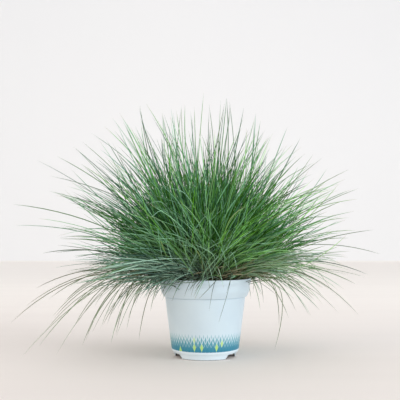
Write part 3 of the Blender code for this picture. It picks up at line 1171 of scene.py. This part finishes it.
def spread_evenly(number):
    """A blade's turn, and how far down the dome it lies: evenly spread, and then a little uneven."""
    share = (number + 0.5) / DOME_BLADES
    down = math.degrees(math.acos(1.0 - share * (1.0 - cosine(LOWEST_DOME))))
    down = max(down + chance.uniform(-DOWN_UNEVEN, DOWN_UNEVEN), HIGHEST_DOWN)
    return number * GOLDEN_TURN + chance.uniform(-TURN_UNEVEN, TURN_UNEVEN), down


def grow_dome():
    """The clump's main blades, spread evenly over the dome and then bunched."""
    for number in range(DOME_BLADES):
        turn, down = spread_evenly(number)
        in_front = cosine(turn) > HOLLOW_EDGE
        if in_front and chance.random() < np.interp(down, HOLLOW_DOWN, HOLLOW_THINNED):
            continue
        turn, down, reach = bunched(turn, down, dome_reach(turn, down))
        to_right = max(sine(turn), 0.0) * np.interp(down, (8.0, 30.0), (0.0, 1.0))
        reach = min(reach, LONGEST_REACH) * (1.0 - DRAWN_IN_RIGHT * to_right)
        held_down = max(down, HIGHEST_DOWN)
        tip = dome_point(turn, held_down, reach)
        radius = CROWN_RADIUS * min(1.0, (held_down / 100.0) ** 0.6 * chance.uniform(0.45, 1.15))
        if in_front:
            radius *= HOLLOW_DRAWN_BACK
        foot = crown_foot(turn + chance.gauss(0.0, FOOT_SPREAD), radius)
        leaves = (turn + chance.gauss(0.0, TURN_SPREAD), down, chance.gauss(0.0, LEAN_SPREAD))
        rise = rise_for(foot, tip, *leaves)
        width = width_within(0.65, 1.15)
        grow(foot, rise, tip, width, freshness(tip), 0.0, tone_and_side_light(tip), wavering(1.8))


grow_dome()
print(blade_count(), "blades in the dome")

# %% [markdown]
# ## The skirt
# The lowest and oldest blades have bent over the rim and hang beside the pot. They are long, thin and
# few, and none of them hangs in front, where the pot was turned to be seen. On the right a shelf of
# blades lies out level over the rim.

# %% The skirt
SKIRT_BLADES = 200
SKIRT_OPENING = 0.45
LEVEL_BLADES = 110
HANGING_DRY = 0.38


def grow_skirt():
    """The lowest blades, which hang beside the pot and behind it, with an opening in front."""
    for number in range(SKIRT_BLADES):
        turn = number * GOLDEN_TURN + chance.uniform(-8.0, 8.0)
        if cosine(turn) > SKIRT_OPENING:
            continue
        down = mostly_low(90.0, 66.0, 1.7)
        reach = mostly_low(0.42, 0.44, 2.0)
        tip = dome_point(turn, down, reach)
        foot = foot_at(turn + chance.gauss(0.0, 26.0), 0.6, 1.05)
        rise = rise_for(foot, tip, turn + chance.gauss(0.0, 9.0), down, chance.gauss(2.0, 7.0))
        width = width_within(0.65, 1.0)
        dry = HANGING_DRY * chance.uniform(0.3, 1.0)
        grow(foot, rise, tip, width, freshness(tip), dry, tone_and_side_light(tip), wavering(1.6))


def grow_level():
    """A shelf of blades that lie out level over the rim on the right."""
    for _ in range(LEVEL_BLADES):
        turn = chance.uniform(42.0, 128.0)
        foot = foot_at(turn + chance.gauss(0.0, 24.0), 0.5, 1.05)
        out = mostly_low(92.0, 96.0, 1.3) * MM
        tip = around(turn, out, chance.gauss(121.0, 13.0) * MM)
        rise = foot + (tip - foot) * chance.uniform(0.3, 0.5)
        rise[2] = foot[2] + chance.uniform(26.0, 52.0) * MM
        width = width_within(0.7, 1.05)
        dry = HANGING_DRY * chance.uniform(0.2, 1.3)
        tone = chance.uniform(0.3, PALEST)
        grow(foot, rise, tip, width, freshness(tip) - 0.7, dry, tone, wavering(1.8))


grow_skirt()
grow_level()
print(blade_count(), "blades with the skirt")

# %% [markdown]
# ## Blades combed to one side
# In front of the crown, and to its left, the blades all lie one way, as if brushed by a hand in transport.
# They are the oldest and bluest of the clump, and the lowest of them drape over the rim.

# %% The combed blades
COMBED_BLADES = 240
DRAPED_BLADES = 70
COMBED_FRESH = -0.95


def grow_combed():
    """Blades that leave the front of the crown and lie over to the left, level with the rim or above it."""
    for _ in range(COMBED_BLADES):
        foot = foot_at(chance.uniform(-50.0, 75.0), 0.35, 1.0)
        turn = chance.uniform(-104.0, -44.0)
        out = mostly_low(70.0, 110.0, 1.6) * MM
        tip = around(turn, out, chance.gauss(112.0, 14.0) * MM)
        rise = foot + np.array((-chance.uniform(5.0, 50.0), 0.0, chance.uniform(20.0, 58.0))) * MM
        rise[1] = -chance.uniform(38.0, 74.0) * MM
        width = width_within(0.7, 1.1)
        fresh = COMBED_FRESH + chance.uniform(-0.3, 0.5)
        dry = HANGING_DRY * chance.uniform(-0.6, 0.6)
        tone = mostly_low(0.0, PALEST, 1.6)
        grow(foot, rise, tip, width, fresh, max(dry, 0.0), tone, wavering(3.8))


def grow_draped():
    """Short blades that hang over the rim in front, nearly all of them on the left."""
    for _ in range(DRAPED_BLADES):
        turn = mostly_low(-74.0, 80.0, 1.9)
        foot = foot_at(turn + chance.uniform(-10.0, 50.0), 0.5, 1.0)
        out = RIM_RADIUS + chance.uniform(4.0, 30.0) * MM
        tip = around(turn - chance.uniform(0.0, 22.0), out, chance.uniform(74.0, 104.0) * MM)
        rise = around(turn + 6.0, RIM_RADIUS, POT_HEIGHT + chance.uniform(12.0, 30.0) * MM)
        width = width_within(0.6, 0.95)
        fresh = COMBED_FRESH + chance.uniform(-0.1, 0.2)
        dry = HANGING_DRY * chance.uniform(0.0, 0.7)
        grow(foot, rise, tip, width, fresh, dry, tone_and_side_light(tip), wavering(1.0))


grow_combed()
grow_draped()
print(blade_count(), "blades with the combed ones")

# %% [markdown]
# ## The longest blades
# Some blades stand well clear of the rest and give the clump its ragged outline, and others hang beside
# the pot or arch in front of the hollow, where each is seen by itself. A rule would spread them too
# evenly, so about 130 tips are listed one by one. Blades that bend hard get a bend of their own.

# %% The longest blades
# The tips, in millimetres
LONG_TIPS = (
    (-239, -51, 195), (-238, -45, 169), (-225, 10, 257), (-200, -30, 213), (-194, -10, 260),
    (-176, 20, 275), (-156, -40, 275), (-135, 30, 287), (-100, -50, 295), (-87, 0, 330),
    (-59, 40, 327), (-41, -30, 315), (-32, 10, 332), (-20, 50, 331), (-2, 0, 346),
    (28, -20, 335), (33, 20, 339), (68, 10, 321), (70, -40, 302), (112, 20, 304),
    (122, -30, 281), (191, 0, 244), (211, 30, 221), (169, -60, 199), (190, 40, 187),
    (192, -30, 163), (199, 40, 153), (239, 30, 131), (209, -20, 106), (203, 20, 91),
    (-207, -30, 134), (-203, 30, 133), (-162, -60, 131),
)
LONG_TIPS_IN_FRONT = (
    (-12, -241, 158), (38, -232, 184), (-62, -222, 176), (84, -204, 152), (-96, -196, 214),
    (10, -206, 232), (-40, -176, 268), (66, -168, 262), (118, -172, 196), (-128, -166, 150),
    (-24, -128, 306), (44, -118, 304), (-140, -140, 236), (132, -130, 244), (-92, -118, 286),
)
LONG_TIPS_BEHIND = (
    (16, 242, 160), (-44, 232, 190), (70, 220, 168), (-92, 208, 148), (104, 196, 206),
    (-14, 204, 236), (48, 180, 264), (-70, 170, 258), (-126, 170, 200), (134, 166, 146),
    (26, 132, 304), (-52, 116, 306), (146, 136, 230), (-148, 128, 246), (98, 114, 288),
    (-8, 226, 104), (60, 196, 72), (-84, 180, 60), (120, 150, 84), (-132, 142, 92),
)
# A tip and the point that the blade bends towards, in millimetres
BENT_BLADES = (
    ((192, -40, 57), (112, -28, 150)),
    ((146, -60, 79), (90, -38, 148)),
    ((129, -50, 57), (84, -34, 146)),
    ((84, -60, 17), (120, -66, 130)),
    ((66, -70, 66), (58, -48, 142)),
    ((90, -56, 44), (94, -50, 142)),
    ((-220, -60, 70), (-128, -40, 142)),
    ((-215, -100, 14), (-112, -52, 142)),
    ((-178, -80, 14), (-108, -52, 134)),
    ((-196, -92, 26), (-112, -56, 136)),
    ((-183, -70, 57), (-118, -40, 138)),
    ((-156, -75, 49), (-98, -52, 140)),
    ((-143, -80, 31), (-104, -48, 132)),
    ((-174, -60, 74), (-108, -38, 134)),
    ((-196, -40, 77), (-118, -28, 140)),
    ((-137, -70, 39), (-94, -48, 138)),
    ((-125, -70, 46), (-84, -52, 138)),
    ((-109, -66, 35), (-92, -40, 130)),
    ((-115, -60, 28), (-86, -44, 136)),
    ((-108, -66, 34), (-80, -44, 138)),
    ((-94, -64, 56), (-74, -52, 132)),
    ((-81, -65, 30), (-70, -50, 134)),
    ((-67, -66, 64), (-60, -56, 128)),
    ((-232, -84, 52), (-136, -60, 146)),
    ((-206, -70, 92), (-128, -56, 138)),
    ((-188, -96, 44), (-118, -66, 138)),
    ((-166, -84, 62), (-108, -60, 132)),
    ((-150, -64, 22), (-106, -50, 140)),
    ((-132, -84, 72), (-96, -64, 126)),
    ((-118, -78, 50), (-88, -60, 130)),
    ((-100, -72, 66), (-78, -60, 124)),
    ((-88, -72, 74), (-72, -60, 122)),
    ((-184, -74, 59), (-120, -50, 142)),
    ((-160, -66, 45), (-110, -46, 134)),
    ((-144, -72, 34), (-98, -56, 142)),
    ((-128, -60, 43), (-96, -42, 130)),
    ((-114, -70, 26), (-92, -52, 138)),
    ((-171, -60, 77), (-104, -52, 132)),
    ((-96, -64, 42), (-80, -50, 130)),
    ((101, -66, 56), (72, -52, 142)),
    ((111, -60, 63), (84, -44, 138)),
    ((159, -30, 87), (96, -26, 136)),
)
# The same for thin blades that hang over the rim in front
THIN_HANGING = (
    ((4, -72, 65), (25, -77, 130)),
    ((15, -72, 50), (42, -76, 142)),
    ((-9, -72, 79), (18, -76, 125)),
    ((-14, -72, 87), (9, -76, 118)),
    ((25, -70, 86), (42, -74, 122)),
    ((-26, -70, 82), (-4, -76, 120)),
)
# The same for pale blades that arch in front of the hollow
PALE_ARCS = (
    ((-45, -80, 212), (0, -90, 220)),
    ((-70, -90, 191), (-37, -93, 222)),
    ((-66, -85, 176), (-32, -95, 212)),
    ((-51, -75, 124), (-73, -90, 220)),
    ((-38, -78, 120), (-64, -91, 196)),
    ((22, -72, 120), (2, -82, 196)),
    ((-20, -84, 150), (15, -90, 233)),
    ((10, -75, 97), (-1, -74, 158)),
    ((22, -74, 92), (15, -71, 146)),
    ((-6, -76, 94), (-3, -69, 139)),
    ((-24, -80, 104), (-10, -78, 172)),
    ((38, -76, 112), (30, -80, 168)),
)


def grow_long():
    """The longest blades, each to its own tip."""
    for place in LONG_TIPS + LONG_TIPS_IN_FRONT + LONG_TIPS_BEHIND:
        tip = np.array(place) * MM
        turn = turn_of(tip)
        down = math.degrees(math.acos(unit(tip - HEART)[2]))
        foot = foot_at(turn + chance.gauss(0.0, 15.0), 0.3, 0.9)
        rise = rise_for(foot, tip, turn + chance.gauss(0.0, 4.0), down)
        width = width_within(0.95, 1.15)
        grow(foot, rise, tip, width, freshness(tip), 0.0, chance.uniform(0.1, 0.5), wavering(2.0))


def grow_bent(rows, widths, fresh, dry, tones):
    """Blades that each go to their own tip by their own bend."""
    for place, bend in rows:
        tip = np.array(place) * MM
        rise = np.array(bend) * MM
        foot = foot_at(turn_of(rise) + chance.gauss(0.0, 12.0), 0.7, 1.0)
        width = width_within(*widths)
        grow(foot, rise, tip, width, fresh, dry, chance.uniform(*tones), wavering(1.0))


grow_long()
grow_bent(BENT_BLADES, (0.80, 1.0), fresh=-0.1, dry=HANGING_DRY, tones=(0.1, 0.5))
grow_bent(THIN_HANGING, (0.55, 0.75), fresh=-0.9, dry=0.1, tones=(0.0, 0.3))
grow_bent(PALE_ARCS, (0.65, 0.9), fresh=-0.3, dry=0.05, tones=(0.9, 1.2))
print(blade_count(), "blades with the longest ones")

# %% [markdown]
# ## Strays, young shoots and dead blades
# Old clumps are untidy inside. Some blades cross the others at odd angles, short young shoots stand
# yellow-green between them, a few broad blades have yellowed, and the straw of last year's blades lies at
# the crown and over the rim.

# %% The untidy ones
STRAY_BLADES = 70
YOUNG_BLADES = 280
DEAD_BLADES = 130
YELLOWED_BLADES = 22


def grow_strays():
    """Pale blades in front of the others, bent across them."""
    for _ in range(STRAY_BLADES):
        side = chance.choice((-1.0, -1.0, 1.0))
        turn = side * chance.uniform(5.0, 85.0)
        down = chance.uniform(38.0, 84.0)
        tip = dome_point(turn, down, chance.uniform(0.34, 0.60))
        foot = foot_at(-turn * chance.uniform(0.0, 1.3), 0.6, 1.05)
        leaves = (turn * 0.4 + chance.gauss(0.0, 30.0), down, chance.gauss(-8.0, 16.0))
        rise = rise_for(foot, tip, *leaves)
        width = width_within(0.45, 0.75)
        grow(foot, rise, tip, width, 0.0, 0.05, chance.uniform(0.7, 1.2), wavering(4.5))


def grow_young():
    """Short bright shoots low in the crown, most of them right of the front."""
    for _ in range(YOUNG_BLADES):
        turn = chance.gauss(36.0, 20.0) if chance.random() < 0.65 else chance.uniform(0.0, 360.0)
        down = chance.uniform(5.0, 70.0 if abs(turn) > 30.0 else 50.0)
        foot = foot_at(turn + chance.gauss(0.0, 25.0), 0.3, 0.95)
        length = chance.uniform(45.0, 105.0) * MM
        tip = foot + direction(turn, down) * length
        rise = rise_for(foot, tip, turn, down * 0.6)
        width = width_within(0.8, 1.25)
        fresh = chance.uniform(0.9, 1.4)
        grow(foot, rise, tip, width, fresh, 0.0, chance.uniform(0.4, 1.1), wavering(0.8))


def grow_yellowed():
    """A few broad blades that have yellowed in the hollow."""
    for _ in range(YELLOWED_BLADES):
        foot = foot_at(chance.uniform(-60.0, 20.0), 0.5, 0.95)
        tip = foot + np.array((-chance.uniform(0.0, 24.0), -chance.uniform(14.0, 50.0), 0.0)) * MM
        tip[2] = chance.uniform(124.0, 154.0) * MM
        rise = foot * 0.5 + tip * 0.5 + UP * chance.uniform(4.0, 16.0) * MM
        width = width_within(1.1, 1.8)
        dry = chance.choice((0.0, 0.5))
        grow(foot, rise, tip, width, 1.6, dry, chance.uniform(0.5, 1.0), wavering(0.8))


def grow_dead():
    """Last year's straw: short and curled, thickest over the rim at the right of the front."""
    for _ in range(DEAD_BLADES):
        turn = chance.gauss(50.0, 20.0) if chance.random() < 0.6 else chance.uniform(30.0, 320.0)
        foot = foot_at(turn + chance.gauss(0.0, 20.0), 0.6, 1.15)
        out = chance.uniform(46.0, 92.0) * MM
        tip = around(turn + chance.gauss(8.0, 22.0), out, POT_HEIGHT + chance.uniform(3.0, 22.0) * MM)
        rise = foot * 0.5 + tip * 0.5
        rise[2] = foot[2] + chance.uniform(14.0, 34.0) * MM
        width = width_within(0.6, 1.2)
        dry = chance.uniform(0.7, 1.0)
        grow(foot, rise, tip, width, 0.4, dry, chance.random(), wavering(2.5))


grow_strays()
grow_young()
grow_yellowed()
grow_dead()
print(blade_count(), "blades in all")

# %% [markdown]
# ## The tufts as meshes
# All the blades of one tuft are joined in one mesh, with a few numbers written to each point: how far
# along its blade it lies, how deep in the groove, how fresh or dry the blade is and its tone. The finish
# reads them. Each blade also gets its own upright strip in the tuft's map.

# %% Joining the blades
BLADE_NUMBERS = ("along", "groove", "fresh", "dry", "tone")
# The share of its place in the map that a blade's strip fills, and the gap before it
STRIP_SHARE = 0.9
STRIP_GAP = 0.05


def join_blades(name, blades):
    """One mesh from a tuft's blades."""
    per_blade = STATIONS * CORNERS
    points = np.concatenate([surface.reshape(-1, 3) for surface, *_ in blades])
    all_faces = []
    places = []
    for number in range(len(blades)):
        first = number * per_blade
        all_faces += [tuple(first + corner for corner in face) for face in BLADE_FACES]
        start = ((number + STRIP_GAP) / len(blades), 0.0)
        places.append(BLADE_MAP * (STRIP_SHARE / len(blades), 1.0) + start)
    made = mesh_object(name, points, all_faces)
    set_map(made, np.concatenate(places))
    along = np.repeat(np.linspace(0.0, 1.0, STATIONS), CORNERS)
    values = [np.tile(along, len(blades)), np.tile(GROOVE_SHARE, STATIONS * len(blades))]
    # The rest is the same all over a blade: how fresh it is, how dry, and its tone
    values += [np.repeat([blade[kind] for blade in blades], per_blade) for kind in (1, 2, 3)]
    for attribute, numbers in zip(BLADE_NUMBERS, values):
        held = made.data.attributes.new(attribute, "FLOAT", "POINT")
        held.data.foreach_set("value", numbers.astype(np.float32))
    return made


print("each point holds:", ", ".join(BLADE_NUMBERS))

# %% [markdown]
# ## The blades' finish
# One finish serves every blade, because the numbers written to its points say how it differs from the
# others. An old blade has a blue bloom of wax over its green, a young one is bright yellow-green and a
# dead one is straw. A blade is darker in its groove, and pale ones have a dry tip. Painted shade darkens it
# near its foot, low down and low near the crown, and painted light makes it lighter towards its tip. Far
# from the axis it has weathered to a duller, yellower green. In the crown it is brown with old sheaths and
# painted shade, and soil clings to its foot.

# %% Blade finish
BLADE_BLUE = (0.120, 0.280, 0.213)
BLADE_GREEN = (0.066, 0.212, 0.076)
BLADE_FRESH = (0.096, 0.305, 0.018)
BLOOM = (0.24, 0.42, 0.30)
BLOOM_MOST = 0.34
STRAW_DARK = (0.24, 0.195, 0.12)
STRAW_LIGHT = (0.40, 0.34, 0.22)
SHEATH_PALE = (0.26, 0.24, 0.10)
# Old sheaths, painted dark enough to stand also for the shade in the crown's hollow
OLD_SHEATH_AND_SHADE = (0.055, 0.040, 0.024)
TIP_DRY = (0.34, 0.25, 0.13)
# How light the darkest and the palest blades are, and how rich their colour is
TONE_LIGHT = (0.13, 3.4)
TONE_RICH = (1.12, 0.74)
# Painted shade makes a blade darkest near its foot. Far from the axis it has weathered to a duller, yellower
# green. Low down its colour is duller and painted shade darkens it, most where it lies low and close to the
# crown
FOOT_SHADE = 0.50
CROWN_SHADE = 0.78
CROWN_OUT = (45.0 * MM, 90.0 * MM)
CROWN_UP = (130.0 * MM, 170.0 * MM)
WEATHERED_FROM_TO = (100.0 * MM, 230.0 * MM)
WEATHERED_HUE = 0.46
WEATHERED_RICH = 0.70
DULL_FROM_TO = (110.0 * MM, 160.0 * MM)
DULL_RICH = 0.82
LOW_PAINTED_SHADE = 0.94


def blade_value(tree, name):
    """A number that was written to the blade's points, as an output socket."""
    return node(tree, "ShaderNodeAttribute", attribute_name=name).outputs["Fac"]


def living_colour(tree, place, along, fresh):
    """From blue through green to fresh green, in soft patches and fresher towards the foot."""
    patches = mottling(tree, place, 45.0, -0.15, 0.15)
    younger = mapped(tree, along, 1.0, 0.0, -0.40, 0.45, smooth=False)
    fresh = maths(tree, "ADD", maths(tree, "ADD", fresh, patches), younger)
    blued = maths(tree, "MULTIPLY", fresh, -1.0, clamp=True)
    bluer = mixed(tree, blued, BLADE_GREEN, BLADE_BLUE)
    return mixed(tree, maths(tree, "ADD", fresh, 0.0, clamp=True), bluer, BLADE_FRESH)


def tone_and_painted_light(tree, along, groove, tone, out, height):
    """How light a blade is: by its tone, darker in its groove, with painted shade near its foot, low down
    and in the crown, and painted light towards its tip.
    """
    lit = times(
        tree,
        mapped(tree, tone, 0.0, PALEST, *TONE_LIGHT, smooth=False),
        mapped(tree, groove, 0.0, 1.0, 1.15, 0.58, smooth=False),
        # Painted light and shade: lighter towards the tip and darker at the foot
        mapped(tree, along, 0.1, 0.9, 0.58, 1.22, smooth=False),
        mapped(tree, along, 0.04, 0.32, FOOT_SHADE, 1.0),
    )
    # Painted light: the outer part of a blade never gets too dark
    lit = maths(tree, "MAXIMUM", lit, mapped(tree, along, 0.3, 0.8, 0.08, 0.50))
    # Painted shade where a blade lies low and close to the crown
    from_crown = mapped(tree, out, *CROWN_OUT, CROWN_SHADE, 1.0)
    above_crown = mapped(tree, height, *CROWN_UP, CROWN_SHADE, 1.0)
    low_painted_shade = mapped(tree, height, *DULL_FROM_TO, LOW_PAINTED_SHADE, 1.0)
    return times(tree, lit, low_painted_shade, maths(tree, "MAXIMUM", from_crown, above_crown))


def richness(tree, tone, out, height):
    """How strong a blade's colour is: less so if it is pale, and less far out and low down."""
    return times(
        tree,
        mapped(tree, tone, 0.0, PALEST, *TONE_RICH, smooth=False),
        mapped(tree, out, *WEATHERED_FROM_TO, 1.0, WEATHERED_RICH),
        mapped(tree, height, *DULL_FROM_TO, DULL_RICH, 1.0),
    )


def soiled_and_shaded_foot(tree, place, out, colour):
    """A blade's colour with old brown sheaths and painted shade in the crown, and soil on its foot."""
    # Old sheaths with painted shade, low in the crown and close to the axis
    sheath_and_shade = soil_dust_and_shade(tree, place, POT_HEIGHT + 9.0 * MM, 22.0 * MM)
    sheath_and_shade = times(tree, sheath_and_shade, mapped(tree, out, 60.0 * MM, 48.0 * MM))
    dusty = soil_dust_and_shade(tree, place, SOIL_EDGE_HEIGHT + 3.0 * MM, 6.0 * MM)
    dusty = times(tree, dusty, maths(tree, "LESS_THAN", out, COLLAR_RADIUS))
    return mixed(tree, dusty, mixed(tree, sheath_and_shade, colour, OLD_SHEATH_AND_SHADE), SOIL_DARK)


def blade_material():
    """A living blade: blue bloom over green, pale at its foot, with a dry tip and a fine grain."""
    material, tree, shader, place = new_material("blade")
    _, _, height = split(tree, place)
    out = out_from_axis(tree, place)
    along, groove, fresh, dry, tone = (blade_value(tree, name) for name in BLADE_NUMBERS)
    shade = node(tree, "ShaderNodeHueSaturation")
    feed(tree, shade.inputs["Color"], living_colour(tree, place, along, fresh))
    feed(tree, shade.inputs["Hue"], mapped(tree, out, *WEATHERED_FROM_TO, 0.5, WEATHERED_HUE))
    feed(tree, shade.inputs["Saturation"], richness(tree, tone, out, height))
    feed(tree, shade.inputs["Value"], tone_and_painted_light(tree, along, groove, tone, out, height))
    bloom = times(tree, mottling(tree, place, 160.0, 0.4), BLOOM_MOST, mapped(tree, tone, 0.2, 1.0))
    bloomed = mixed(tree, bloom, shade.outputs["Color"], BLOOM)
    pale = mixed(tree, mapped(tree, along, 0.10, 0.0), bloomed, SHEATH_PALE)
    ends = times(tree, mapped(tree, along, 0.93, 1.0), mapped(tree, tone, 0.4, 0.8))
    tipped = mixed(tree, ends, pale, TIP_DRY)
    straw = mixed(tree, mottling(tree, place, 120.0), STRAW_DARK, STRAW_LIGHT)
    colour = soiled_and_shaded_foot(tree, place, out, mixed(tree, dry, tipped, straw))
    tree.links.new(colour, shader.inputs["Base Color"])
    tree.links.new(mottling(tree, place, 200.0, 0.50, 0.70), shader.inputs["Roughness"])
    shader.inputs["Specular IOR Level"].default_value = 0.15
    bumped(tree, shader, mottling(tree, place, 2600.0, detail=2.0), 0.25, 0.0002)
    return material


blade_finish = blade_material()
print(len(blade_finish.node_tree.nodes), "nodes in the blades' finish")

# %% [markdown]
# ## Blades in place of tufts
# Now every plain tuft is replaced by a mesh of its own fine blades.

# %% Build the tufts
for name, blades in zip(tuft_names, grown):
    piece = join_blades(name.replace("tuft", "blades"), blades)
    piece.data.materials.append(blade_finish)
    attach(piece, "root")
    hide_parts(name)
counts = [len(blades) for blades in grown]
print(sum(counts), "blades in", len(grown), "tufts, from", min(counts), "to", max(counts), "a tuft")
BLADE_TRIANGLES = sum(len(face) - 2 for face in BLADE_FACES)
triangles = [count * BLADE_TRIANGLES for count in counts]
print("triangles:", sum(triangles), "in all,", max(triangles), "at most a tuft")
